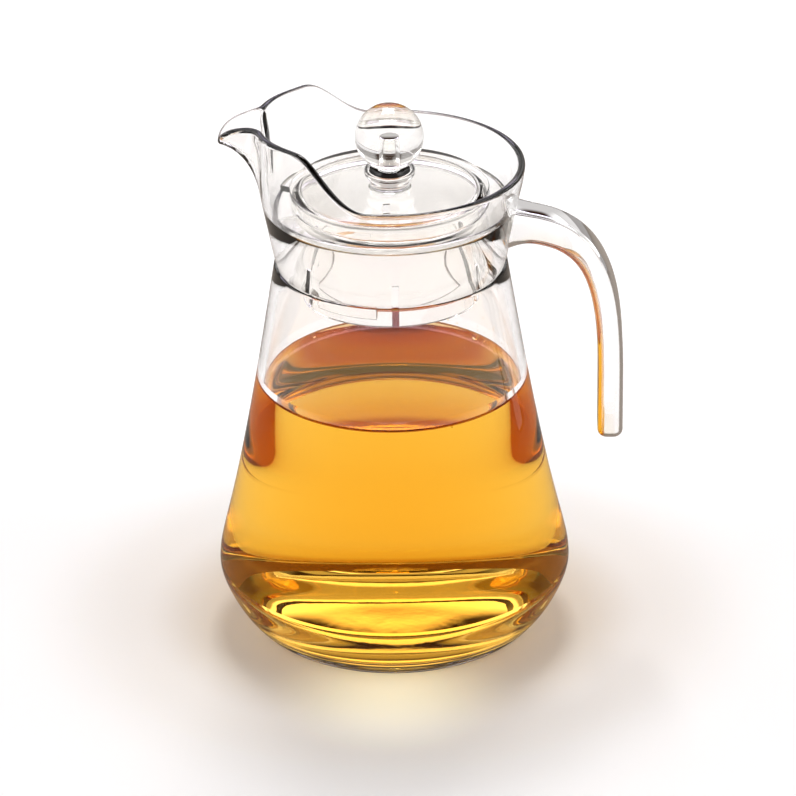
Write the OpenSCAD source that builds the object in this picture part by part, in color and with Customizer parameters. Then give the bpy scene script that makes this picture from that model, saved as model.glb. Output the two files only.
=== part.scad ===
// Duck-bill glass jug with a snap-in plastic lid, part filled with beer.
// The origin is the centre of the foot on the table, +X towards the handle, +Z up.

/* [Body] */
// Largest diameter of the bell-shaped body
belly_d = 135; // [125:1:145]
// Height of the largest diameter
belly_z = 25; // [20:1:32]
// Diameter of the foot where it leaves the table
foot_d = 102.6; // [92:0.5:108]
// Thickness of the glass wall
wall = 3; // [2.4:0.1:3.6]
// Thickness of the glass at the middle of the floor
floor_t = 6; // [4.5:0.5:8]
// Height of the hollow under the foot
punt_h = 1.4; // [0.6:0.2:2.4]
// Width of the ring that the foot rests on
rest_w = 9; // [6:0.5:14]
// Height of the seam between body and neck
seam_z = 149.5; // [145:0.5:156]
// Diameter of the body at that seam
seam_d = 88; // [86:0.5:91]
// Lean of the flank at the seam, in degrees
flank_lean = 9; // [7:0.5:11]

/* [Neck] */
// Depth of the step from body to neck
seam_step = 0.7; // [0.3:0.1:1.2]
// Flare of the neck, in degrees
neck_flare = 10.7; // [9.5:0.1:12]
// Height of the ledge inside the neck, above the seam
ledge_rise = 22.8; // [20:0.2:26]
// Width of that ledge
ledge_w = 1.7; // [1.3:0.1:2.2]
// Thickness of the glass above the ledge
rim_wall = 2.7; // [2.2:0.1:3.2]
// Height of the rim at the handle, above the seam
rim_rise = 38.8; // [37:0.2:45]

/* [Spout] */
// Distance of the spout's tip from the middle
spout_reach = 62.8; // [60:0.5:70]
// Half-angle that the beak covers
beak_half = 9; // [7:0.5:10.5]
// Height of the shoulders beside the beak, above the rim
shoulder_rise = 17.2; // [12:0.5:19]
// Drop of the tip below those shoulders
tip_drop = 8.2; // [5:0.2:9]
// Angle from the spout where the rim starts to climb
climb_start = 81; // [78:1:90]
// Angle from the spout where the climb ends
climb_end = 44; // [32:1:46]
// How far the shoulders are drawn in
pinch = 3; // [2:0.5:6]
// Slope of the lip at the tip, in degrees
lip_slope = 18; // [10:1:28]

/* [Handle] */
// Width of the handle
grip_w = 16; // [13:0.5:18]
// Thickness at the root
grip_root_t = 12; // [10:0.2:13]
// Thickness of the hanging arm
grip_arm_t = 9.6; // [9:0.2:12]
// Distance of the hanging arm from the middle
grip_reach = 83; // [78:0.5:90]
// Height of the handle's end
grip_end_z = 77.5; // [66:0.5:86]
// Height of the root's middle, above the seam
grip_root_rise = 15.8; // [14:0.2:18]
// Spread of the root where it meets the neck
root_flare = 2.4; // [1.2:0.2:3.4]

/* [Lid] */
// Turn of the lid in the neck, in degrees
lid_turn = 4; // [0:1:30]
// Gap round the lid's flange
lid_gap = 0.4; // [0.2:0.1:0.8]
// Thickness of the flange
flange_t = 2.6; // [2:0.2:3.4]
// Diameter of the raised top
lid_top_d = 74.6; // [72:0.2:80]
// Height of the raised top above the ledge
lid_top_rise = 7.7; // [6:0.1:9]
// Thickness of the lid's plastic
lid_t = 1.8; // [1.4:0.1:2.4]
// Outer diameter of the skirt
skirt_d = 71; // [68:0.5:72]
// Length of the skirt below the ledge
skirt_h = 34; // [28:0.5:36]
// Half-angle of the pouring gap in the flange
pour_half = 20; // [12:1:28]
// Number of slots in the skirt
slots = 6; // [4:1:8]
// Width of a slot
slot_w = 2.6; // [1.6:0.2:4]
// Height of a slot
slot_h = 17.6; // [12:0.2:22]
// How far the snap lugs stand out
lug_out = 2.8; // [1.6:0.2:3.2]
// Height of a lug
lug_h = 4.8; // [3:0.2:6]
// Half-angle that a lug covers
lug_half = 19; // [10:1:22]

/* [Knob] */
// Diameter of the ball
ball_d = 25.8; // [22:0.2:30]
// Diameter of the flat under the ball
ball_seat_d = 15; // [13:0.2:17]
// Height of the pedestal
pedestal_h = 9.4; // [7:0.2:12]
// Largest diameter of the pedestal
pedestal_d = 20.6; // [18:0.2:24]
// Diameter of the pedestal's waist
waist_d = 13; // [11:0.2:15]
// Diameter of the spigot in the ball
spigot_d = 4.8; // [4:0.2:6]
// Height of the spigot above the pedestal
spigot_h = 10.4; // [7:0.2:12]
// Clearance of the spigot in its socket
spigot_gap = 0.1; // [0.05:0.05:0.2]

/* [Drink] */
// Height of the drink's surface
drink_z = 100.5; // [60:0.5:118]
// Gap between drink and glass
drink_gap = 0.1; // [0.05:0.05:0.3]

/* [Hidden] */
$fn = 96;
eps = 0.01;

belly_r = belly_d / 2;
foot_r = foot_d / 2;
seam_r = seam_d / 2;
flank_h = seam_z - belly_z;
rest_r = foot_r - rest_w;

neck_r = seam_r - seam_step;
neck_tan = tan(neck_flare);
ledge_z = seam_z + ledge_rise;
rim_z = seam_z + rim_rise;

// The lofted part of the neck starts here, its root a tongue inside the turned part
loft_z = ledge_z + 3.7;
tongue = 2;
loft_inset = 0.06;
ring_n = 120;
rise_n = 10;
bead_n = 4;
bead = 0.25;

lid_top_z = ledge_z + lid_top_rise;
skirt_r = skirt_d / 2;
skirt_z = ledge_z - skirt_h;
lug_rise = 3.7;
lug_slant = 1.2;
lug_z = skirt_z + lug_rise;
edge_r = 0.7;

pedestal_z = lid_top_z + pedestal_h;
seat_r = ball_seat_d / 2;
ball_r = ball_d / 2;
ball_z = pedestal_z + sqrt(ball_r * ball_r - seat_r * seat_r);

glass_colour = [0.86, 0.9, 0.92, 0.45];
plastic_colour = [0.93, 0.94, 0.93, 0.6];
drink_colour = [0.93, 0.66, 0.12, 0.85];

// Curves
function bez(p, t) = pow(1 - t, 3) * p[0] + 3 * t * pow(1 - t, 2) * p[1]
    + 3 * t * t * (1 - t) * p[2] + pow(t, 3) * p[3];
function bez_slope(p, t) = pow(1 - t, 2) * (p[1] - p[0]) + 2 * t * (1 - t) * (p[2] - p[1])
    + t * t * (p[3] - p[2]);
function unit(v) = v / norm(v);
function run(n, from = 0) = [for (i = [from:n]) i / n];
function smooth(x) = let (t = max(0, min(1, x))) t * t * (3 - 2 * t);
function fade(x, width, power) = exp(-pow(abs(x) / width, power));

// The glass body's outer face: from the foot to the belly, then up the hollow flank
foot_spread = 7.8;
foot_lift = 2.8;
belly_pull = 0.1;
flank_pull = 0.88;
foot_curve = [[foot_r, 0], [foot_r + foot_spread, foot_lift], [belly_r, belly_z * 0.8], [belly_r, belly_z]];
flank_curve = [[belly_r, belly_z], [belly_r, belly_z + belly_pull * flank_h],
    [seam_r + flank_pull * flank_h * tan(flank_lean), seam_z - flank_pull * flank_h], [seam_r, seam_z]];
// Its inner face: the flank stands one wall inside, the heel and the floor are thicker
function inner_flank(t) = let (s = unit(bez_slope(flank_curve, t)))
    bez(flank_curve, t) + wall * [-s[1], s[0]];
heel_top = inner_flank(0);
heel_curve = [heel_top, [heel_top[0], heel_top[1] * 0.5], [foot_r + 5, floor_t + 0.6],
    [foot_r - 8, floor_t + 0.2]];

function neck_outer(z) = neck_r + (z - seam_z) * neck_tan;
function neck_inner(z) = neck_outer(z) - rim_wall;

body_outer = concat(
    [for (t = run(10)) bez(foot_curve, t)],
    [for (t = run(16, 1)) if (t < 1) bez(flank_curve, t)],
    [[seam_r + 0.1, seam_z - 0.9], [seam_r - 0.15, seam_z - 0.25],
     [neck_r - 0.15, seam_z + 0.15], [neck_outer(seam_z + 0.8), seam_z + 0.8],
     [neck_outer(loft_z), loft_z]]);
body_inner = concat(
    [[neck_inner(loft_z), loft_z], [neck_inner(ledge_z), ledge_z],
     [neck_inner(ledge_z) - ledge_w, ledge_z],
     [neck_inner(ledge_z) - ledge_w - 0.3, ledge_z - 0.6]],
    [for (t = run(16)) if (t < 1) inner_flank(1 - t)],
    [for (t = run(10)) bez(heel_curve, t)],
    [[foot_r * 0.4, floor_t + 0.05], [0, floor_t]]);
punt = [for (t = run(8)) [rest_r * t, punt_h * (1 - t * t)]];

// The rim seen from above and from the side, by the angle from the spout
function beak(a) = fade(a, beak_half, 3);
pinch_at = 46;
pinch_width = 17;
function rim_out(a) = neck_outer(rim_z) - pinch * fade(abs(a) - pinch_at, pinch_width, 2)
    + (spout_reach - neck_outer(rim_z)) * beak(a);
function rim_up(a) = rim_z + shoulder_rise * smooth((climb_start - abs(a)) / (climb_start - climb_end))
    - tip_drop * fade(a, beak_half * 0.65, 2);
rim_slope = 84;
function lip_lean(a) = rim_slope - (rim_slope - lip_slope) * fade(a, beak_half * 1.3, 4);

// A point of the neck's outer face: a is the angle from the spout, v runs from the loft's foot to the rim
function loft_plan(a, v) = let (
    low = [neck_outer(loft_z) - loft_inset, loft_z],
    high = [rim_out(a), rim_up(a)],
    h = high[1] - low[1],
    e = lip_lean(a))
    bez([low, low + 0.45 * h * [neck_tan, 1], high - 0.42 * h * [cos(e), sin(e)], high], v);
function loft_point(a, v) = let (p = loft_plan(a, v)) [-p[0] * cos(a), p[0] * sin(a), p[1]];
function loft_out(a, v) = unit(cross(loft_point(a, v + eps) - loft_point(a, v - eps),
    loft_point(a + 0.1, v) - loft_point(a - 0.1, v)));
function loft_along(a) = unit(loft_point(a, 1) - loft_point(a, 1 - eps));

function ring_angle(i) = let (u = 2 * i / ring_n - 1) 180 * (0.4 * u + 0.6 * u * u * u);
function loft_inside(a, v) = loft_point(a, v) - rim_wall * loft_out(a, v);
function tongue_point(a, gap) = let (r = neck_outer(loft_z - tongue) - gap)
    [-r * cos(a), r * sin(a), loft_z - tongue];
// The rim's round bead, from the outer face over the top to the inner face
function bead_point(a, k) = let (n = loft_out(a, 1), c = loft_point(a, 1) - rim_wall / 2 * n,
    w = 180 * k / bead_n) c + (rim_wall / 2 + bead * sin(w)) * (cos(w) * n + sin(w) * loft_along(a));

function loft_rows(a) = concat(
    [tongue_point(a, 0.5)],
    [for (v = run(rise_n)) if (v < 1) loft_point(a, v)],
    [for (k = [0:bead_n]) bead_point(a, k)],
    [for (v = run(rise_n)) if (v > 0) loft_inside(a, 1 - v)],
    [tongue_point(a, rim_wall - 0.5)]);

// A skin over rings of equal length, closed round each ring and along the rings
module torus_skin(rings) {
    n = len(rings);
    m = len(rings[0]);
    faces = [for (i = [0:n - 1], j = [0:m - 1]) let (i2 = (i + 1) % n, j2 = (j + 1) % m)
        each [[i * m + j, i2 * m + j2, i * m + j2], [i * m + j, i2 * m + j, i2 * m + j2]]];
    polyhedron(points = [for (r = rings) each r], faces = faces);
}

// A skin over rings, capped at both ends
module tube_skin(rings) {
    n = len(rings);
    m = len(rings[0]);
    walls = [for (i = [0:n - 2], j = [0:m - 1]) let (j2 = (j + 1) % m)
        each [[i * m + j, i * m + j2, (i + 1) * m + j2], [i * m + j, (i + 1) * m + j2, (i + 1) * m + j]]];
    polyhedron(points = [for (r = rings) each r],
        faces = concat([[for (j = [m - 1:-1:0]) j]], walls, [[for (j = [0:m - 1]) (n - 1) * m + j]]));
}

// The handle hangs from the neck: an arc, then a straight arm, in the plane of the spout
root_sink = 2.2;
arm_h = 26.5;
grip_root = [neck_outer(seam_z + grip_root_rise) - root_sink, seam_z + grip_root_rise];
grip_bend = [grip_reach, grip_end_z + arm_h];
grip_drop = grip_root[1] - grip_bend[1];
grip_curve = [grip_root, grip_root + [0.82 * (grip_bend[0] - grip_root[0]), 0],
    grip_bend + [0, 0.69 * grip_drop], grip_bend];
grip_n = 22;
tip_n = 5;
tip_round = 3.6;
grip_corner = 3;

function grip_thick(t) = grip_root_t + (grip_arm_t - grip_root_t) * smooth(t / 0.6);
function root_spread(t) = root_flare * pow(max(0, 1 - t / 0.14), 2.4);
// A rounded rectangle, t thick and w wide, as offsets across and along Y
function grip_section(t, w, c) = [for (q = [0:3], k = [0:4]) let (a = 90 * q + 22.5 * k)
    [(t / 2 - c) * ((q == 0 || q == 3) ? 1 : -1) + c * cos(a),
     (w / 2 - c) * ((q < 2) ? 1 : -1) + c * sin(a)]];
function place(p, s, section) = [for (q = section) [p[0] + q[0] * -s[1], q[1], p[1] + q[0] * s[0]]];
function arc_ring(t) = let (g = 2 * root_spread(t))
    place(bez(grip_curve, t), unit(bez_slope(grip_curve, t)),
        grip_section(grip_thick(t) + g, grip_w + g, grip_corner + g / 2));
// The handle starts inside the glass, with a face that leans as the neck does
root_ring = [for (q = arc_ring(0)) q + [(q[2] - grip_root[1]) * neck_tan, 0, 0]];
function tip_ring(k) = let (w = 90 * k / tip_n, less = 2 * tip_round * (1 - cos(w)))
    place([grip_reach, grip_end_z + tip_round * (1 - sin(w))], [0, -1],
        grip_section(grip_arm_t - less, grip_w - less, max(0.3, grip_corner - less / 3)));

module turned_glass() {
    rotate_extrude() polygon(concat(punt, body_outer, body_inner));
}

module spout_and_rim() {
    torus_skin([for (i = [0:ring_n - 1]) loft_rows(ring_angle(i))]);
}

module handle() {
    tube_skin(concat([root_ring], [for (t = run(grip_n, 1)) arc_ring(t)],
        [for (k = [0:tip_n - 1]) tip_ring(k)], [tip_ring(tip_n - 0.35)]));
}

module jug() {
    color(glass_colour) union() {
        turned_glass();
        spout_and_rim();
        handle();
    }
}

// The lid in half section: raised top, flange on the ledge and skirt
flange_r = neck_inner(ledge_z) - lid_gap;
top_r = lid_top_d / 2;
waist_r = waist_d / 2;
pedestal_r = pedestal_d / 2;
pedestal_curve = [[waist_r + 1.6, lid_top_z], [waist_r - 1.2, lid_top_z + 0.25 * pedestal_h],
    [pedestal_r + 2.8, lid_top_z + 0.55 * pedestal_h], [seat_r, pedestal_z]];

lid_outline = concat(
    [[0, lid_top_z - lid_t], [0, pedestal_z], [seat_r, pedestal_z]],
    [for (t = run(12)) if (t > 0) bez(pedestal_curve, 1 - t)],
    [for (w = [90:-22.5:0]) [top_r - edge_r + edge_r * cos(w), lid_top_z - edge_r + edge_r * sin(w)]],
    [[top_r, ledge_z + flange_t]],
    [for (w = [90:-45:0])
        [flange_r - edge_r + edge_r * cos(w), ledge_z + flange_t - edge_r + edge_r * sin(w)]],
    [[flange_r, ledge_z], [skirt_r, ledge_z], [skirt_r, skirt_z], [skirt_r - lid_t, skirt_z],
     [skirt_r - lid_t, lid_top_z - lid_t - 1.2], [skirt_r - lid_t - 1.2, lid_top_z - lid_t]]);

module wedge(half, reach, z, h) {
    translate([0, 0, z]) linear_extrude(h)
        polygon([[0, 0], [reach, -reach * tan(half)], [reach, reach * tan(half)]]);
}

module lug() {
    intersection() {
        rotate_extrude() polygon([[skirt_r - lid_t / 2, lug_z], [skirt_r + lug_out - lug_slant, lug_z],
            [skirt_r + lug_out, lug_z + 0.4 * lug_h], [skirt_r + lug_out, lug_z + lug_h],
            [skirt_r - lid_t / 2, lug_z + lug_h]]);
        wedge(lug_half, 2 * skirt_r, lug_z - 1, lug_h + 2);
    }
}

// The flange is cut away on the side of the spout, so that the drink can pass
module pouring_gap() {
    difference() {
        rotate(180) wedge(pour_half, 2 * flange_r, ledge_z - 1, flange_t + 2);
        translate([0, 0, ledge_z - 2]) cylinder(r = top_r, h = flange_t + 4);
    }
}

module lid() {
    color(plastic_colour) rotate(lid_turn) {
        difference() {
            rotate_extrude() polygon(lid_outline);
            for (k = [0:slots - 1]) rotate(180 + 180 / slots + k * 360 / slots)
                translate([skirt_r - 2 * lid_t, -slot_w / 2, skirt_z - 1])
                    cube([3 * lid_t, slot_w, slot_h + 1]);
            pouring_gap();
        }
        for (a = [0, 120, 240]) rotate(a) lug();
        translate([0, 0, pedestal_z - 1]) cylinder(d = spigot_d, h = spigot_h + 1);
    }
}

module knob() {
    color(plastic_colour) difference() {
        translate([0, 0, ball_z]) sphere(d = ball_d);
        translate([0, 0, pedestal_z - ball_r]) cylinder(r = ball_r, h = ball_r);
        translate([0, 0, pedestal_z - 1])
            cylinder(d = spigot_d + 2 * spigot_gap, h = spigot_h + 1 + 2 * spigot_gap);
    }
}

// The drink fills the inner face up to its level
module drink() {
    color(drink_colour) intersection() {
        rotate_extrude() polygon(concat([[0, ledge_z]],
            [for (p = body_inner) if (p[1] < ledge_z - 1) p + [p[0] > 0 ? -drink_gap : 0, drink_gap]]));
        cylinder(r = belly_r, h = drink_z);
    }
}

jug();
lid();
knob();
drink();
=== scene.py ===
import math
import bmesh
import bpy
import numpy as np
from mathutils import Euler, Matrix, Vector


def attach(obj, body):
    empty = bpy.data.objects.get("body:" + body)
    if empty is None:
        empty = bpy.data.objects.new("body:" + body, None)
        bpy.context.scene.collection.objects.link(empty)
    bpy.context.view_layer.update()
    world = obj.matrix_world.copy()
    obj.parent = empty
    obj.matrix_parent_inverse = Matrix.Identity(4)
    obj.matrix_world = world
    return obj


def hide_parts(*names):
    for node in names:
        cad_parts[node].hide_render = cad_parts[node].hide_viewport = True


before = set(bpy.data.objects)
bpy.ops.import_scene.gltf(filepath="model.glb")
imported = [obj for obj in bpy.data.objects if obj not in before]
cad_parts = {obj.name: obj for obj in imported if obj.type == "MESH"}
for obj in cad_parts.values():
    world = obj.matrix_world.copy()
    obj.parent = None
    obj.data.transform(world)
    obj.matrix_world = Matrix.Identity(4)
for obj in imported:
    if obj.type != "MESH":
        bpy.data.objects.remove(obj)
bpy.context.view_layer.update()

# shapes are sized in millimetres and degrees, and mm turns a length into metres
mm = 0.001
creaseAngle = 34
clear = (1, 1, 1, 1)
scene = bpy.context.scene
scene.view_settings.view_transform = "Standard"


# curves
def bezier(p, t):
    return ((1 - t) ** 3 * p[0] + 3 * t * (1 - t) ** 2 * p[1]
            + 3 * t * t * (1 - t) * p[2] + t ** 3 * p[3])


def bezierSlope(p, t):
    return (1 - t) ** 2 * (p[1] - p[0]) + 2 * t * (1 - t) * (p[2] - p[1]) + t * t * (p[3] - p[2])


def unit(v):
    return v / np.linalg.norm(v, axis=-1, keepdims=True)


def smooth(x):
    t = np.clip(x, 0, 1)
    return t * t * (3 - 2 * t)


def fade(x, width, power):
    return np.exp(-(np.abs(x) / width) ** power)


def points(*pairs):
    return np.array(pairs, float)


def roundCorners(outline, radius, steps=4):
    # each corner of an open outline becomes a short arc that stays clear of its neighbours
    corners = [np.array(p, float) for p in outline]
    out = [corners[0]]
    for before, corner, after in zip(corners, corners[1:], corners[2:]):
        back, ahead = before - corner, after - corner
        backL, aheadL = np.linalg.norm(back), np.linalg.norm(ahead)
        r = min(radius, 0.45 * backL, 0.45 * aheadL)
        start, end = corner + back / backL * r, corner + ahead / aheadL * r
        for t in np.linspace(0, 1, steps + 1):
            out.append((1 - t) ** 2 * start + 2 * t * (1 - t) * corner + t * t * end)
    return out + [corners[-1]]


# meshes
def makeObject(name, vertices, faces, materials=(), faceSlot=None):
    mesh = bpy.data.meshes.new(name)
    mesh.from_pydata(np.asarray(vertices, float) * mm, [], faces)
    mesh.validate()
    for material in materials:
        mesh.materials.append(material)
    if faceSlot is not None:
        mesh.polygons.foreach_set("material_index", faceSlot)
    mesh.shade_smooth()
    obj = bpy.data.objects.new(name, mesh)
    scene.collection.objects.link(obj)
    return obj


def faceOutwards(obj):
    bm = bmesh.new()
    bm.from_mesh(obj.data)
    bmesh.ops.recalc_face_normals(bm, faces=bm.faces)
    bm.to_mesh(obj.data)
    bm.free()


def sharpenCreases(obj):
    obj.data.shade_smooth()
    bm = bmesh.new()
    bm.from_mesh(obj.data)
    for edge in bm.edges:
        between = edge.calc_face_angle(0) if len(edge.link_faces) == 2 else 0
        edge.smooth = not between > math.radians(creaseAngle)
    bm.to_mesh(obj.data)
    bm.free()


def withoutRepeats(corners):
    return [v for n, v in enumerate(corners) if v not in corners[:n]]


def capSkin(name, rings):
    # a closed skin over rings of as many points each, with a flat face at either end
    count = len(rings[0])
    last = (len(rings) - 1) * count
    faces = []
    for low in range(0, last, count):
        for k in range(count):
            after = (k + 1) % count
            faces.append((low + k, low + after, low + count + after, low + count + k))
    faces.append(tuple(range(count))[::-1])
    faces.append(tuple(last + k for k in range(count)))
    obj = makeObject(name, [p for ring in rings for p in ring], faces)
    faceOutwards(obj)
    return obj


def revolve(name, outline, count, materials, slotOf=None):
    # outline: (radius, height) from the axis round to the axis again; slotOf: the slot of each band
    turn = np.arange(count) * 2 * math.pi / count
    vertices, rings = [], []
    for r, z in outline:
        if r < 1e-6:
            rings.append([len(vertices)] * count)
            vertices.append((0, 0, z))
        else:
            rings.append(list(range(len(vertices), len(vertices) + count)))
            vertices.extend(np.stack([r * np.cos(turn), r * np.sin(turn), np.full(count, z)], 1))
    faces, faceSlot = [], []
    for i, (low, high) in enumerate(zip(rings, rings[1:])):
        for k in range(count):
            after = (k + 1) % count
            corners = withoutRepeats([low[k], low[after], high[after], high[k]])
            if len(corners) > 2:
                faces.append(corners)
                faceSlot.append(slotOf[i] if slotOf else 0)
    obj = makeObject(name, vertices, faces, materials, faceSlot)
    faceOutwards(obj)
    return obj


def bakeModifiers(obj):
    made = bpy.data.meshes.new_from_object(obj.evaluated_get(bpy.context.evaluated_depsgraph_get()))
    obj.modifiers.clear()
    obj.data = made


def join(obj, other, operation="UNION"):
    modifier = obj.modifiers.new(operation.lower(), "BOOLEAN")
    modifier.object = other
    modifier.operation = operation
    modifier.solver = "MANIFOLD"
    bakeModifiers(obj)
    bpy.data.objects.remove(other)


# node trees
def addNode(tree, kind, **values):
    # set_x sets the node's property x, in_2 its input 2, and any other key the input of that name;
    # an input takes a value or is linked to another node's output
    node = tree.nodes.new(kind)
    for key, value in values.items():
        if key.startswith("set_"):
            setattr(node, key[4:], value)
            continue
        socket = node.inputs[int(key[3:]) if key.startswith("in_") else key.replace("_", " ")]
        if isinstance(value, bpy.types.NodeSocket):
            tree.links.new(value, socket)
        else:
            socket.default_value = value
    return node


def addMath(tree, operation, *values):
    inputs = {f"in_{n}": value for n, value in enumerate(values)}
    return addNode(tree, "ShaderNodeMath", set_operation=operation, **inputs).outputs[0]


def emptyMaterial(name):
    material = bpy.data.materials.new(name)
    material.use_nodes = True
    material.node_tree.nodes.clear()
    return material, material.node_tree


# materials; mirror is the share of light that a face throws back where it is seen square on
glassLook = dict(ior=1.5, shade=(0.955, 0.945, 0.932, 1), mirror=1.0,
                 waveScale=26.0, waveDepth=0.00006, fineScale=160.0, fineDepth=0.000006)
plasticLook = dict(ior=1.49, shade=(0.985, 0.98, 0.965, 1), mirror=1.0, waveScale=70.0, waveDepth=0.00002)
beerLook = dict(ior=1.34, shade=clear, mirror=0.25, waveScale=30.0, waveDepth=0.000004)
beerBody = dict(absorb=(0.966, 0.79, 0.14, 1), density=34.0)
wetIor = 1.12
lostLight = dict(afterBounces=8.5, strength=0.17, colour=(1.0, 0.97, 0.93, 1))


def clearMaterial(name, look, **changes):
    look = dict(look, **changes)
    material, tree = emptyMaterial(name)
    # a ray that is still inside the glass near the renderer's last bounce brings back some of its lost light
    bounces = addNode(tree, "ShaderNodeLightPath").outputs["Ray Depth"]
    late = addMath(tree, "GREATER_THAN", bounces, lostLight["afterBounces"])
    given = addMath(tree, "MULTIPLY", late, lostLight["strength"])
    # a slow waver in the surface, and on glass a finer one on top
    where = addNode(tree, "ShaderNodeTexCoord").outputs["Object"]
    wave = addNode(tree, "ShaderNodeTexNoise", Vector=where, Scale=look["waveScale"], Detail=1.0)
    bump = addNode(tree, "ShaderNodeBump", Strength=1.0, Distance=look["waveDepth"],
                   Height=wave.outputs["Fac"])
    if "fineScale" in look:
        fine = addNode(tree, "ShaderNodeTexNoise", Vector=where, Scale=look["fineScale"], Detail=2.0)
        bump = addNode(tree, "ShaderNodeBump", Strength=1.0, Distance=look["fineDepth"],
                       Height=fine.outputs["Fac"], Normal=bump.outputs[0])
    surface = addNode(tree, "ShaderNodeBsdfPrincipled", Base_Color=look["shade"], Roughness=0.0,
                      IOR=look["ior"], Specular_Tint=(look["mirror"],) * 3 + (1,), Transmission_Weight=1.0,
                      Emission_Color=lostLight["colour"], Emission_Strength=given, Normal=bump.outputs[0])
    addNode(tree, "ShaderNodeOutputMaterial", Surface=surface.outputs[0])
    return material


def plainMaterial(name, kind, socket, **values):
    # one shader alone, put into the output's Surface or Volume
    material, tree = emptyMaterial(name)
    shader = addNode(tree, kind, **values)
    addNode(tree, "ShaderNodeOutputMaterial", **{socket: shader.outputs[0]})
    return material


# filled glass has beer behind it; wet glass is the face between the two, and edge glass its upper line,
# tinted dark as a painted shade
glass = clearMaterial("clearGlass", glassLook)
filledGlass = clearMaterial("filledGlass", glassLook, shade=clear, mirror=0.12)
wetGlass = clearMaterial("wetGlass", glassLook, shade=clear, ior=wetIor)
# edge glass: a dark tint along the drink's edge, a painted shade
shadedEdgeGlass = clearMaterial("shadedEdgeGlass", glassLook, shade=(0.16, 0.03, 0.003, 1), ior=wetIor)
# rim glass: the bead's crest tinted dark, a painted shade
shadedRimGlass = clearMaterial("shadedRimGlass", glassLook, shade=(0.20, 0.17, 0.17, 1))
# where the wall is even, beer and glass bend light as one, and the face between them lets it straight on
filledFlank = clearMaterial("filledFlank", glassLook, shade=clear, mirror=0.2, ior=beerLook["ior"])
wetFlank = plainMaterial("wetFlank", "ShaderNodeBsdfTransparent", "Surface", Color=clear)
plastic = clearMaterial("clearPlastic", plasticLook)
# the beer's body only absorbs: what bends the light is its surface and the outside of the glass
beer = plainMaterial("beer", "ShaderNodeVolumeAbsorption", "Volume", Color=beerBody["absorb"],
                     Density=beerBody["density"])
beerTop = clearMaterial("beerTop", beerLook)
# the drink's surface next to the glass is tinted darker amber, a painted shade
shadedBeerEdge = clearMaterial("shadedBeerEdge", beerLook, shade=(0.72, 0.42, 0.12, 1))
beerDrop = clearMaterial("beerDrop", beerLook, shade=(1, 0.86, 0.6, 1), mirror=1.0)
print("materials made")


# the jug: one piece of glass, its section turned round the axis and lofted to the rim
jugSizes = dict(
    bellyD=135, bellyZ=25, footD=102.6, heelOut=7.8, heelUp=2.8, restW=9, puntH=1.4, wall=3, floorT=6,
    flankLean=9, seamD=88, seamZ=149.5, seamStep=0.7, neckFlare=10.7, ledgeRise=22.8, ledgeW=1.7,
    rimRise=38.8, rimWall=2.7, rimLean=84, bead=0.25, loftRise=3.7, spoutReach=62.8, beakHalf=9, lipSlope=18,
    tipDrop=8.2, shoulderRise=17.2, climbStart=81, climbEnd=44, pinch=3, pinchTurn=46, pinchHalf=17,
    around=320, loftSteps=26, beadSteps=9)
# the drink's edge climbs the glass, and under it the wet glass is tinted into a dark line, a painted shade
drinkSizes = dict(levelZ=100.5, climb=1.9, reach=1.3, gap=0.04, edgeW=1.3, lineH=0.9)

bellyR, footR, seamR = jugSizes["bellyD"] / 2, jugSizes["footD"] / 2, jugSizes["seamD"] / 2
bellyZ, floorZ, puntZ, seamZ = (jugSizes[size] for size in ("bellyZ", "floorT", "puntH", "seamZ"))
rimWall, ledgeW = jugSizes["rimWall"], jugSizes["ledgeW"]
flankH = seamZ - bellyZ
restR = footR - jugSizes["restW"]
neckR = seamR - jugSizes["seamStep"]
neckTan = math.tan(math.radians(jugSizes["neckFlare"]))
leanTan = math.tan(math.radians(jugSizes["flankLean"]))
ledgeZ = seamZ + jugSizes["ledgeRise"]
rimZ = seamZ + jugSizes["rimRise"]
loftZ = ledgeZ + jugSizes["loftRise"]
contactZ = drinkSizes["levelZ"] + drinkSizes["climb"]
lineZ = contactZ - drinkSizes["lineH"]


def neckOuter(z):
    return neckR + (z - seamZ) * neckTan


def neckInner(z):
    return neckOuter(z) - rimWall


footCurve = points((footR, 0), (footR + jugSizes["heelOut"], jugSizes["heelUp"]), (bellyR, bellyZ * 0.8),
                   (bellyR, bellyZ))
flankCurve = points((bellyR, bellyZ), (bellyR, bellyZ + 0.1 * flankH),
                    (seamR + 0.88 * flankH * leanTan, seamZ - 0.88 * flankH), (seamR, seamZ))


def innerFlank(t):
    slope = unit(bezierSlope(flankCurve, t))
    return bezier(flankCurve, t) + jugSizes["wall"] * np.array([-slope[1], slope[0]])


heelTop = innerFlank(0.0)
heelCurve = points(heelTop, (heelTop[0], heelTop[1] * 0.5), (footR + 8, floorZ + 0.3),
                   (footR - 8, floorZ + 0.2))
innerTable = np.array([innerFlank(t) for t in np.linspace(0, 1, 400)])


def innerR(z):
    return float(np.interp(z, innerTable[:, 1], innerTable[:, 0]))


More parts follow.
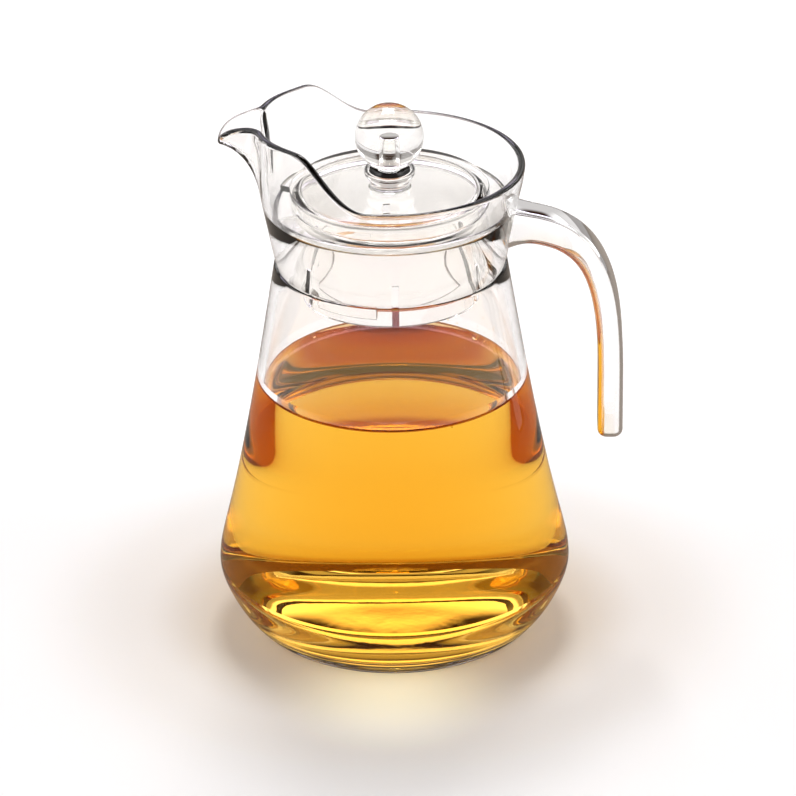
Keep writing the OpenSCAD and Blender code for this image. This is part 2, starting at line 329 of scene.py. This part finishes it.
# the outside from the middle of the foot up to the neck: hollow under the foot, foot ring, heel, flank, seam
outerTurned = [(0.0, puntZ)]
outerTurned += [(restR * t, puntZ * (1 - t * t)) for t in np.linspace(0.15, 0.97, 8)]
outerTurned += [(restR + 0.4, 0.02), (restR + 1.6, 0.0), (footR - 1.5, 0.0)]
outerTurned += [tuple(bezier(footCurve, t)) for t in np.linspace(0.02, 1, 24)]
outerTurned += [tuple(bezier(flankCurve, t)) for t in np.linspace(0, 0.985, 44)[1:]]
flankStation = next(i for i, (r, z) in enumerate(outerTurned) if z >= bellyZ)
dryStation = next(i for i, (r, z) in enumerate(outerTurned) if z > contactZ - 0.5)
outerTurned += [(seamR + 0.12, seamZ - 0.9), (seamR + 0.02, seamZ - 0.45), (seamR - 0.2, seamZ - 0.12),
                (neckR - 0.05, seamZ + 0.1), (neckR - 0.1, seamZ + 0.45), (neckOuter(seamZ + 1), seamZ + 1)]
outerTurned += [(neckOuter(z), z) for z in (seamZ + 6, seamZ + 13, seamZ + 20)]

# the inside from the neck down to the middle of the floor: the lid's ledge, flank, heel, floor
ledgeR = neckInner(ledgeZ)
innerTurned = [(neckInner(z), z) for z in (ledgeZ + 2.0, ledgeZ + 0.45)]
innerTurned += [(ledgeR - 0.12, ledgeZ + 0.1), (ledgeR - 0.45, ledgeZ), (ledgeR - ledgeW + 0.3, ledgeZ),
                (ledgeR - ledgeW, ledgeZ - 0.1), (ledgeR - ledgeW - 0.3, ledgeZ - 0.6)]
flankSteps = [tuple(innerFlank(t)) for t in np.linspace(1, 0, 46)]
flankSteps += [(innerR(z), z) for z in (contactZ, lineZ)]
flankSteps.sort(key=lambda p: -p[1])
edgeStation = len(innerTurned) + sum(z > contactZ for r, z in flankSteps)
wetStation = len(innerTurned) + sum(z > lineZ for r, z in flankSteps)
innerTurned += flankSteps
heelStation = len(innerTurned) - 1
innerTurned += [tuple(bezier(heelCurve, t)) for t in np.linspace(0, 1, 20)[1:]]
innerTurned += [(footR * 0.6, floorZ + 0.1), (footR * 0.4, floorZ + 0.05), (footR * 0.2, floorZ + 0.01),
                (0.0, floorZ)]


# the rim: turn is the angle from the spout
def rimOut(turn):
    plain = neckOuter(rimZ)
    pinched = jugSizes["pinch"] * fade(np.abs(turn) - jugSizes["pinchTurn"], jugSizes["pinchHalf"], 2)
    return plain - pinched + (jugSizes["spoutReach"] - plain) * fade(turn, jugSizes["beakHalf"], 3)


def rimUp(turn):
    climb = smooth((jugSizes["climbStart"] - np.abs(turn)) / (jugSizes["climbStart"] - jugSizes["climbEnd"]))
    drop = jugSizes["tipDrop"] * fade(turn, jugSizes["beakHalf"] * 0.65, 2)
    return rimZ + jugSizes["shoulderRise"] * climb - drop


def lipLean(turn):
    lean = jugSizes["rimLean"]
    return np.radians(lean - (lean - jugSizes["lipSlope"]) * fade(turn, jugSizes["beakHalf"] * 1.3, 4))


def fromSpout(r, turn, z):
    w = np.radians(turn)
    return np.stack([-r * np.cos(w), r * np.sin(w), z], -1)


def loftPoint(turn, v):
    # v: 0 at the loft's foot, 1 at the rim
    low = np.stack([np.full_like(turn, neckOuter(loftZ)), np.full_like(turn, loftZ)], -1)
    high = np.stack([rimOut(turn), rimUp(turn)], -1)
    h = (high - low)[:, 1:]
    lean = lipLean(turn)
    p = bezier([low, low + 0.45 * h * np.array([neckTan, 1]),
                high - 0.42 * h * np.stack([np.cos(lean), np.sin(lean)], -1), high], v)
    return fromSpout(p[:, 0], turn, p[:, 1])


def loftNormal(turn, v):
    up = loftPoint(turn, v + 0.01) - loftPoint(turn, v - 0.01)
    along = loftPoint(turn + 0.1, v) - loftPoint(turn - 0.1, v)
    return unit(np.cross(up, along))


def jugRings():
    # the points of a ring lie closest together at the spout
    u = 2 * np.arange(jugSizes["around"]) / jugSizes["around"] - 1
    turn = 180 * (0.4 * u + 0.6 * u ** 3)

    def turned(outline):
        return [fromSpout(r, turn, np.full_like(turn, z)) for r, z in outline]

    rings = turned(outerTurned) + [loftPoint(turn, v) for v in np.linspace(0, 1, jugSizes["loftSteps"])]
    # the rim's bead, from the outside over the top to the inside
    out = loftNormal(turn, 1.0)
    up = unit(loftPoint(turn, 1.0) - loftPoint(turn, 0.99))
    middle = loftPoint(turn, 1.0) - rimWall / 2 * out
    for k in range(1, jugSizes["beadSteps"] + 1):
        t = math.pi * k / jugSizes["beadSteps"]
        beadR = rimWall / 2 + jugSizes["bead"] * math.sin(t)
        rings.append(middle + beadR * (math.cos(t) * out + math.sin(t) * up))
    downwards = np.linspace(1, 0, jugSizes["loftSteps"])[1:]
    rings += [loftPoint(turn, v) - rimWall * loftNormal(turn, v) for v in downwards]
    inside = len(rings)
    return rings + turned(innerTurned), inside


def makeJug():
    rings, inside = jugRings()
    count = jugSizes["around"]
    # the two poles are one vertex each
    vertices = [rings[0][0]] + [p for ring in rings[1:-1] for p in ring] + [rings[-1][0]]

    def index(i, k):
        if i == 0:
            return 0
        if i == len(rings) - 1:
            return len(vertices) - 1
        return 1 + (i - 1) * count + k % count

    # the glass from each of these stations on; the crest of the bead is tinted dark, a painted shade for the
    # rim's thin dark line
    crest = len(outerTurned) + jugSizes["loftSteps"] + 2
    glassFrom = {0: filledGlass, flankStation: filledFlank, dryStation: glass, crest: shadedRimGlass,
                 crest + 4: glass, inside + edgeStation: shadedEdgeGlass, inside + wetStation: wetFlank,
                 inside + heelStation: wetGlass}
    materials = [glass, wetGlass, filledGlass, filledFlank, wetFlank, shadedRimGlass, shadedEdgeGlass]
    faces, faceSlot = [], []
    for i in range(len(rings) - 1):
        if i in glassFrom:
            slot = materials.index(glassFrom[i])
        for k in range(count):
            faces.append(withoutRepeats([index(i, k), index(i, k + 1), index(i + 1, k + 1), index(i + 1, k)]))
            faceSlot.append(slot)
    obj = makeObject("glassJug", vertices, faces, materials, faceSlot)
    faceOutwards(obj)
    return obj


# the handle: a flat bar with round edges that starts inside the neck's wall and hangs free
gripSizes = dict(width=16, rootT=12, armT=9.6, reach=83, endZ=77.5, rootRise=15.8, sink=2.2, flare=2.4,
                 flareEnd=0.14, flarePower=2.4, thinEnd=0.6, armH=26.5, bendOut=0.82, bendDown=0.69,
                 tipRound=3.6, corner=3, bendSteps=90, armSteps=8, tipSteps=12)


def gripSection(less=0, more=0, thick=gripSizes["armT"]):
    # a rectangle with round corners, as offsets across the bar and along Y
    t, w = thick + more - less, gripSizes["width"] + more - less
    c = max(0.3, gripSizes["corner"] + more / 2 - less / 3)
    out = []
    for side in range(4):
        for k in range(7):
            a = math.radians(90 * side + 15 * k)
            out.append(((t / 2 - c) * (1 if side in (0, 3) else -1) + c * math.cos(a),
                        (w / 2 - c) * (1 if side < 2 else -1) + c * math.sin(a)))
    return out


def placeSection(p, slope, section):
    return [(p[0] - across * slope[1], along, p[1] + across * slope[0]) for across, along in section]


def makeHandle():
    reach, endZ, tipRound = gripSizes["reach"], gripSizes["endZ"], gripSizes["tipRound"]
    rootZ = seamZ + gripSizes["rootRise"]
    root = np.array([neckOuter(rootZ) - gripSizes["sink"], rootZ])
    bend = np.array([reach, endZ + gripSizes["armH"]])
    out, drop = bend[0] - root[0], root[1] - bend[1]
    curve = [root, root + np.array([gripSizes["bendOut"] * out, 0]),
             bend + np.array([0, gripSizes["bendDown"] * drop]), bend]
    rings = []
    for t in np.linspace(0, 1, gripSizes["bendSteps"]):
        spread = 2 * gripSizes["flare"] * max(0, 1 - t / gripSizes["flareEnd"]) ** gripSizes["flarePower"]
        thinned = smooth(t / gripSizes["thinEnd"])
        thick = gripSizes["rootT"] + (gripSizes["armT"] - gripSizes["rootT"]) * thinned
        rings.append(placeSection(bezier(curve, t), unit(bezierSlope(curve, t)),
                                  gripSection(more=spread, thick=thick)))
    # the first section leans as the neck does, so that it stays inside the wall
    rings[0] = [(x + (z - rootZ) * neckTan, y, z) for x, y, z in rings[0]]
    for z in np.linspace(bend[1], endZ + tipRound, gripSizes["armSteps"])[1:-1]:
        rings.append(placeSection((reach, z), (0, -1), gripSection()))
    for k in range(gripSizes["tipSteps"]):
        w = math.radians(90 * k / gripSizes["tipSteps"])
        rings.append(placeSection((reach, endZ + tipRound * (1 - math.sin(w))), (0, -1),
                                  gripSection(less=2 * tipRound * (1 - math.cos(w)))))
    return capSkin("handle", rings)


jug = makeJug()
join(jug, makeHandle())
sharpenCreases(jug)
print("jug made,", len(jug.data.polygons), "faces")

# the lid: raised top, flange with a pouring gap, skirt with slots and lugs, pedestal with spigot
lidSizes = dict(turn=4, gap=0.4, flangeT=2.6, topD=74.6, topRise=7.7, wall=1.8, skirtD=71, skirtH=34,
                round=0.6, pourHalf=20, slots=6, slotW=2.6, slotH=17.6, lugs=3, lugRise=3.7, lugOut=2.8,
                lugH=4.8, lugHalf=19, lugBevel=1.2)
knobSizes = dict(ballD=25.8, seatD=15, pedestalH=9.4, pedestalD=20.6, waistD=13, spigotD=4.8, spigotH=10.4,
                 spigotGap=0.1)
lidWall, lidTurn = lidSizes["wall"], lidSizes["turn"]
flangeR = neckInner(ledgeZ) - lidSizes["gap"]
topR, topZ = lidSizes["topD"] / 2, ledgeZ + lidSizes["topRise"]
skirtR, skirtZ = lidSizes["skirtD"] / 2, ledgeZ - lidSizes["skirtH"]
seatR, ballR, spigotR = knobSizes["seatD"] / 2, knobSizes["ballD"] / 2, knobSizes["spigotD"] / 2
pedestalZ = topZ + knobSizes["pedestalH"]
ballZ = pedestalZ + math.sqrt(ballR ** 2 - seatR ** 2)


def makeLid():
    waist, bulb, h = knobSizes["waistD"] / 2, knobSizes["pedestalD"] / 2, knobSizes["pedestalH"]
    pedestal = points((waist + 1.6, topZ), (waist - 1.2, topZ + 0.25 * h), (bulb + 2.8, topZ + 0.55 * h),
                      (seatR, pedestalZ))
    spigotZ = pedestalZ + knobSizes["spigotH"]
    outline = roundCorners([(0, spigotZ), (spigotR, spigotZ), (spigotR, pedestalZ)], 0.4)
    outline += [(spigotR + 0.6, pedestalZ), (seatR - 0.5, pedestalZ)]
    outline += [bezier(pedestal, t) for t in np.linspace(0.98, 0, 26)[:-1]]
    flangeZ, under = ledgeZ + lidSizes["flangeT"], topZ - lidWall
    rest = [(waist + 1.6, topZ), (topR, topZ), (topR, flangeZ), (flangeR, flangeZ), (flangeR, ledgeZ),
            (skirtR, ledgeZ), (skirtR, skirtZ), (skirtR - lidWall, skirtZ), (skirtR - lidWall, under - 1.2),
            (skirtR - lidWall - 1.2, under), (0, under)]
    return revolve("plasticLid", outline + roundCorners(rest, lidSizes["round"], 5), 240, [plastic])


def sectorBlock(name, half, inner, outer, z, h):
    # a block between two radii and two angles, for cutting and for the lugs
    steps = np.radians(np.linspace(-half, half, 25))
    ring = [(inner * math.cos(w), inner * math.sin(w)) for w in steps]
    ring += [(outer * math.cos(w), outer * math.sin(w)) for w in steps[::-1]]
    return capSkin(name, [[(x, y, z) for x, y in ring], [(x, y, z + h) for x, y in ring]])


def repeatRound(name):
    # Geometry Nodes: the piece it is given, repeated round the axis
    tree = bpy.data.node_groups.new(name, "GeometryNodeTree")
    for socket, kind in (("Geometry", "Geometry"), ("Count", "Int"), ("First Turn", "Float"),
                         ("Material", "Material")):
        tree.interface.new_socket(socket, in_out="INPUT", socket_type="NodeSocket" + kind)
    tree.interface.new_socket("Geometry", in_out="OUTPUT", socket_type="NodeSocketGeometry")
    given = addNode(tree, "NodeGroupInput").outputs
    line = addNode(tree, "GeometryNodeMeshLine", set_mode="OFFSET", Count=given["Count"], Offset=(0, 0, 0))
    number = addNode(tree, "GeometryNodeInputIndex").outputs[0]
    step = addMath(tree, "DIVIDE", 2 * math.pi, given["Count"])
    turn = addMath(tree, "MULTIPLY_ADD", number, step, given["First Turn"])
    spin = addNode(tree, "ShaderNodeCombineXYZ", Z=turn)
    copies = addNode(tree, "GeometryNodeInstanceOnPoints", Points=line.outputs[0], Instance=given["Geometry"],
                     Rotation=spin.outputs[0])
    real = addNode(tree, "GeometryNodeRealizeInstances", Geometry=copies.outputs[0])
    dressed = addNode(tree, "GeometryNodeSetMaterial", Geometry=real.outputs[0], Material=given["Material"])
    addNode(tree, "NodeGroupOutput", Geometry=dressed.outputs[0])
    return tree


def copiesRound(obj, count, firstTurn, material):
    tree = repeatRound(obj.name + "Round")
    modifier = obj.modifiers.new("round", "NODES")
    modifier.node_group = tree
    ids = {item.name: item.identifier for item in tree.interface.items_tree if item.in_out == "INPUT"}
    modifier[ids["Count"]] = count
    modifier[ids["First Turn"]] = math.radians(firstTurn)
    modifier[ids["Material"]] = material
    bakeModifiers(obj)
    return obj


def slotCutters():
    half = math.degrees(lidSizes["slotW"] / 2 / skirtR)
    cutter = sectorBlock("slot", half, skirtR - 2 * lidWall, skirtR + 2 * lidWall, skirtZ - 1,
                         lidSizes["slotH"] + 1)
    return copiesRound(cutter, lidSizes["slots"], lidTurn + 180 + 180 / lidSizes["slots"], plastic)


def pourCutter():
    cutter = sectorBlock("pour", lidSizes["pourHalf"], topR, flangeR + 3, ledgeZ - 1, lidSizes["flangeT"] + 2)
    return copiesRound(cutter, 1, lidTurn + 180, plastic)


def snapLugs():
    lugZ, lugR = skirtZ + lidSizes["lugRise"], skirtR + lidSizes["lugOut"]
    lug = sectorBlock("lug", lidSizes["lugHalf"], skirtR - lidWall / 2, lugR, lugZ, lidSizes["lugH"])
    # the lower outer edge is bevelled, so that the lid snaps in
    for v in lug.data.vertices:
        if v.co.z < (lugZ + 0.1) * mm and v.co.xy.length > (skirtR + 1) * mm:
            v.co.xy *= (lugR - lidSizes["lugBevel"]) / lugR
    return copiesRound(lug, lidSizes["lugs"], lidTurn, plastic)


lid = makeLid()
join(lid, slotCutters(), "DIFFERENCE")
join(lid, pourCutter(), "DIFFERENCE")
join(lid, snapLugs())
sharpenCreases(lid)
print("lid made,", len(lid.data.polygons), "faces")


# the knob: a ball with a flat and a blind socket
def makeKnob():
    socketR = spigotR + knobSizes["spigotGap"]
    socketZ = pedestalZ + knobSizes["spigotH"] + knobSizes["spigotGap"] + 0.1
    footZ = pedestalZ + 0.02
    start = math.asin(-(ballZ - pedestalZ) / ballR)
    ball = [(ballR * math.cos(w), ballZ + ballR * math.sin(w)) for w in np.linspace(start, math.pi / 2, 90)]
    ball[-1] = (0, ballZ + ballR)
    foot = roundCorners([(0, socketZ), (socketR, socketZ), (socketR, footZ), (seatR - 0.35, footZ)], 0.3)
    return revolve("ballKnob", foot + [(ball[0][0], ball[0][1] + 0.25)] + ball[3:], 192, [plastic])


knob = makeKnob()
sharpenCreases(knob)

# the drink's bubbles, as turn and size on its edge, and the fine drops left on the wet glass above it
bubbleSizes = dict(onEdge=((132, 0.9), (47, 1.5), (26, 0.6), (41, 0.7), (-62, 0.5)), lift=0.5, sunk=0.25,
                   drops=46, dropLow=1.5, dropHigh=16, dropTurn=24, dropSpread=26, dropR=0.2,
                   dropSunk=0.6, seed=7)
drinkMaterials = [beer, beerTop, shadedBeerEdge, beerDrop]


def addBubbles(body):
    rng = np.random.default_rng(bubbleSizes["seed"])
    edgeZ = drinkSizes["levelZ"] + bubbleSizes["lift"]
    spots = [(turn, edgeZ, size, bubbleSizes["sunk"]) for turn, size in bubbleSizes["onEdge"]]
    for _ in range(bubbleSizes["drops"]):
        z = contactZ + bubbleSizes["dropLow"] + bubbleSizes["dropHigh"] * rng.random() ** 2
        turn = bubbleSizes["dropTurn"] + bubbleSizes["dropSpread"] * rng.normal()
        spots.append((turn, z, bubbleSizes["dropR"] * (0.5 + rng.random()), bubbleSizes["dropSunk"]))
    bm = bmesh.new()
    bm.from_mesh(body.data)
    for turn, z, size, sunk in spots:
        w = math.radians(turn)
        r = min(innerR(contactZ), innerR(z)) - size * (1 - sunk) - 0.1
        place = Vector((r * math.cos(w), r * math.sin(w), z)) * mm
        made = bmesh.ops.create_icosphere(bm, subdivisions=2, radius=size * mm)["verts"]
        bmesh.ops.translate(bm, vec=place, verts=made)
        for face in {face for v in made for face in v.link_faces}:
            face.material_index = drinkMaterials.index(beerDrop)
    bm.to_mesh(body.data)
    bm.free()


# the drink: what absorbs is one closed body, and the surface over it bends the light
def makeDrink():
    level, climb, reach, gap = (drinkSizes[size] for size in ("levelZ", "climb", "reach", "gap"))
    away = np.concatenate([np.linspace(0, 3.2, 18) ** 1.6 / 3.2 ** 0.6, [5, 9, 16, 28, 42]])

    def surface(lower, wider):
        # from the glass to the axis; away: how far each ring is from the glass
        out = []
        for x in away:
            z = level + climb * math.exp(-x / reach) - lower
            r = innerR(z) + wider if x == 0 else min(innerR(contactZ), innerR(z)) - x
            out.append((r, z))
        return [p for p in out if p[0] > 1] + [(0, level - lower)]

    top = surface(0.03, -gap)
    side = [(innerR(z) - gap, z) for z in np.linspace(top[0][1], heelTop[1], 60)[1:]]
    heel = [bezier(heelCurve, t) for t in np.linspace(0.02, 1, 24)]
    side += [(r - gap * 0.7, z + gap * 0.7) for r, z in heel]
    side += [(footR * 0.6, floorZ + 0.1 + gap), (footR * 0.3, floorZ + 0.03 + gap), (0, floorZ + gap)]
    body = revolve("drinkBody", top[::-1] + side, 256, drinkMaterials)
    skinOutline = surface(0, 0.08)[::-1]
    # the outer bands, edgeW wide, take the painted shade of the drink's edge
    edgeBands = sum(x < drinkSizes["edgeW"] for x in away)
    topBands = len(skinOutline) - 1 - edgeBands
    skin = revolve("drinkSkin", skinOutline, 256, drinkMaterials, [1] * topBands + [2] * edgeBands)
    if skin.data.polygons[0].normal.z < 0:
        skin.data.flip_normals()
    bm = bmesh.new()
    bm.from_mesh(body.data)
    bm.from_mesh(skin.data)
    bm.to_mesh(body.data)
    bm.free()
    bpy.data.objects.remove(skin)
    addBubbles(body)
    body.data.shade_smooth()
    return body


drink = makeDrink()
print("knob and drink made")

for piece, node, slotName in ((jug, "jug", "clear_glass"), (lid, "lid", "clear_plastic"),
                              (knob, "knob", "clear_plastic"), (drink, "drink", "amber_drink")):
    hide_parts(node)
    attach(piece, "root")

# the camera, fitted to the photo
cameraPlace = dict(away=1700, height=928, side=2.06, azimuth=1.5, pitch=26.2, roll=-0.71, focal=4959,
                   frame=796, sensor=36)


def makeCamera():
    away, side = cameraPlace["away"], cameraPlace["side"]
    data = bpy.data.cameras.new("photoCamera")
    data.sensor_width = cameraPlace["sensor"]
    data.lens = cameraPlace["focal"] * cameraPlace["sensor"] / cameraPlace["frame"]
    data.clip_end = 50
    camera = bpy.data.objects.new("photoCamera", data)
    scene.collection.objects.link(camera)
    a = math.radians(cameraPlace["azimuth"])
    camera.location = Vector((away * math.sin(a) + side * math.cos(a),
                              -away * math.cos(a) + side * math.sin(a), cameraPlace["height"])) * mm
    aim = Euler((math.radians(90 - cameraPlace["pitch"]), 0, a)).to_matrix()
    aim = aim @ Euler((0, 0, math.radians(cameraPlace["roll"]))).to_matrix()
    camera.rotation_euler = aim.to_euler()
    scene.camera = camera


makeCamera()

# the floor glows a little, fully for the camera and by mirrorShare where the jug mirrors it
# where the jug mirrors the floor, the floor takes the darker mirrored colour, a painted shade in its
# reflection
floorLook = dict(half=6000, colour=(0.86, 0.86, 0.86, 1), glow=0.12, mirrorShare=0.3,
                 mirrored=(0.3, 0.26, 0.22, 1), rampEnd=150)
# its colour by the distance from the jug's axis: a painted shadow, warmer and duller close to the jug, nearly
# white further off
floorPaintedShadow = ((0, (0.7, 0.64, 0.55)), (66, (0.7, 0.64, 0.55)), (100, (0.86, 0.84, 0.81)),
               (150, (0.97, 0.97, 0.97)))
# its colour as seen through the jug: painted light and shade under the foot, dark amber in the middle and
# pale round it, for the light that comes through the beer
floorPaintedLightAndShade = ((0, (0.3, 0.1, 0.02)), (48, (0.36, 0.12, 0.02)), (58, (0.8, 0.72, 0.5)),
              (74, (0.86, 0.86, 0.86)))
# and what it sends up through the jug: amber light under the foot, and a shaded ring round it
floorLight = ((0, (0.02, 0.0, 0)), (20, (0.03, 0.0, 0)), (30, (0.34, 0.1, 0.0)), (42, (0.42, 0.2, 0.0)),
              (50, (0.42, 0.2, 0.01)), (60, (0.3, 0.26, 0.08)), (90, (0.26, 0.25, 0.2)),
              (115, (0.28, 0.28, 0.28)))
# the light that the beer gathers falls in front of the foot as a warm patch
warmPatch = dict(place=(0.0, -0.066, 0.0), reach=0.052, strength=0.4, colour=(1.0, 0.96, 0.6, 1))


def makeFloor():
    half = floorLook["half"]
    obj = makeObject("floor", [(-half, -half, 0), (half, -half, 0), (half, half, 0), (-half, half, 0)],
                     [(0, 1, 2, 3)])
    material, tree = emptyMaterial("paleFloor")
    path = addNode(tree, "ShaderNodeLightPath").outputs
    where = addNode(tree, "ShaderNodeTexCoord").outputs["Object"]
    far = addNode(tree, "ShaderNodeVectorMath", set_operation="LENGTH", in_0=where)
    alongRamp = addMath(tree, "DIVIDE", far.outputs["Value"], floorLook["rampEnd"] * mm)

    def byRadius(stops):
        ramp = addNode(tree, "ShaderNodeValToRGB", in_0=alongRamp)
        ramp.color_ramp.interpolation = "EASE"
        for n, (r, colour) in enumerate(stops):
            place = r / floorLook["rampEnd"]
            stop = ramp.color_ramp.elements[n] if n < 2 else ramp.color_ramp.elements.new(place)
            stop.position = place
            stop.color = (*colour, 1)
        return ramp.outputs[0]

    def mixed(share, one, other):
        mix = addNode(tree, "ShaderNodeMix", set_data_type="RGBA", in_0=share, in_6=one, in_7=other)
        return mix.outputs[2]

    def glowing(colour, strength):
        return addNode(tree, "ShaderNodeEmission", Color=colour, Strength=strength)

    # a ray that was bent counts as glossy too, so only one that wasn't is a mirrored one
    mirrored = addMath(tree, "GREATER_THAN", path["Is Glossy Ray"], path["Is Transmission Ray"])
    # the floor's colour: the painted shadow round the jug, and through the jug the painted light and shade
    # under the foot
    paintedFloorColour = mixed(path["Is Transmission Ray"], byRadius(floorPaintedShadow), byRadius(floorPaintedLightAndShade))
    diffuse = addNode(tree, "ShaderNodeBsdfDiffuse", Color=mixed(mirrored, paintedFloorColour, floorLook["mirrored"]))
    seen = addMath(tree, "MULTIPLY_ADD", mirrored, floorLook["mirrorShare"], path["Is Camera Ray"])
    aside = addNode(tree, "ShaderNodeVectorMath", set_operation="DISTANCE", in_0=where,
                    in_1=warmPatch["place"])
    patch = addNode(tree, "ShaderNodeMapRange", set_interpolation_type="SMOOTHSTEP",
                    Value=aside.outputs["Value"], From_Min=warmPatch["reach"], From_Max=0,
                    To_Max=warmPatch["strength"])
    shown = addMath(tree, "MULTIPLY", patch.outputs[0], path["Is Camera Ray"])
    total = diffuse
    for more in (glowing(floorLook["colour"], addMath(tree, "MULTIPLY", seen, floorLook["glow"])),
                 glowing(byRadius(floorLight), path["Is Transmission Ray"]),
                 glowing(warmPatch["colour"], shown)):
        total = addNode(tree, "ShaderNodeAddShader", in_0=total.outputs[0], in_1=more.outputs[0])
    addNode(tree, "ShaderNodeOutputMaterial", Surface=total.outputs[0])
    obj.data.materials.append(material)


makeFloor()

# the room as the glass sees it: its own dim light and pale panels, each with its light, then its lowest,
# highest, nearest and furthest angle from the back
room = (0.035, 0.014, 0.005)
panels = dict(
    backdrop=((2.8, 2.6, 3.3), 28.5, 37, -5, 36), backSides=((1.2, 1.2, 1.2), 18, 26, 17, 42),
    backMiddle=((0.6, 0.6, 0.6), 9, 24, -5, 17), lowSides=((0.75, 0.75, 0.75), 9, 18, 17, 42),
    sides=((2.4, 2.4, 2.4), 9, 18, 42, 135), low=((0.35, 0.35, 0.35), -5, 9, 16, 135),
    walls=((0.7, 0.7, 0.7), 18, 38, 42, 135), highBack=((0.7, 0.7, 0.7), 38, 55, -5, 42),
    highSides=((1.6, 1.6, 1.6), 38, 55, 42, 135), front=((0.35, 0.35, 0.35), 18, 55, 135, 185))
panelBlur = dict(low=1, high=2, side=3)


def makeWorld():
    world = bpy.data.worlds.new("studioWorld")
    world.use_nodes = True
    tree = world.node_tree
    tree.nodes.clear()
    where = addNode(tree, "ShaderNodeTexCoord").outputs["Generated"]
    parts = addNode(tree, "ShaderNodeSeparateXYZ", Vector=where).outputs
    up = addMath(tree, "ARCSINE", parts["Z"])
    away = addMath(tree, "ABSOLUTE", addMath(tree, "ARCTAN2", parts["X"], parts["Y"]))

    def above(angle, place, blur):
        # 1 beyond the place and 0 before it; a negative blur turns it round
        return addNode(tree, "ShaderNodeMapRange", set_interpolation_type="SMOOTHSTEP", Value=angle,
                       From_Min=math.radians(place - blur), From_Max=math.radians(place + blur)).outputs[0]

    level = room
    for light, low, high, near, far in panels.values():
        lit = addMath(tree, "MULTIPLY", above(up, low, panelBlur["low"]), above(up, high, -panelBlur["high"]))
        lit = addMath(tree, "MULTIPLY", lit, above(away, near, panelBlur["side"]))
        lit = addMath(tree, "MULTIPLY", lit, above(away, far, -panelBlur["side"]))
        level = addNode(tree, "ShaderNodeVectorMath", set_operation="MULTIPLY_ADD", in_0=lit, in_1=light,
                        in_2=level).outputs[0]
    # the camera itself sees plain white where it looks past the floor
    inGlass = addNode(tree, "ShaderNodeBackground", Color=level)
    white = addNode(tree, "ShaderNodeBackground", Color=clear)
    cameraRay = addNode(tree, "ShaderNodeLightPath").outputs["Is Camera Ray"]
    pick = addNode(tree, "ShaderNodeMixShader", in_0=cameraRay, in_1=inGlass.outputs[0],
                   in_2=white.outputs[0])
    addNode(tree, "ShaderNodeOutputWorld", Surface=pick.outputs[0])
    scene.world = world


makeWorld()

# each lamp's place, width and height, and power; all aim at the jug
lamps = dict(keyLamp=((0.0, 1.1, 1.95), (0.6, 0.6), 17), leftLamp=((-1.3, -0.6, 1.4), (0.7, 1.0), 1.5),
             rightLamp=((1.3, -0.6, 1.4), (0.7, 1.0), 2.0))
lampAim = Vector((0, 0, 0.1))


def addLamp(name, place, size, power):
    data = bpy.data.lights.new(name, "AREA")
    data.shape = "RECTANGLE"
    data.size, data.size_y = size
    data.energy = power
    lamp = bpy.data.objects.new(name, data)
    lamp.location = place
    lamp.rotation_euler = (lampAim - Vector(place)).to_track_quat("-Z", "Y").to_euler()
    scene.collection.objects.link(lamp)


for name, (place, size, power) in lamps.items():
    addLamp(name, place, size, power)
print("studio made")
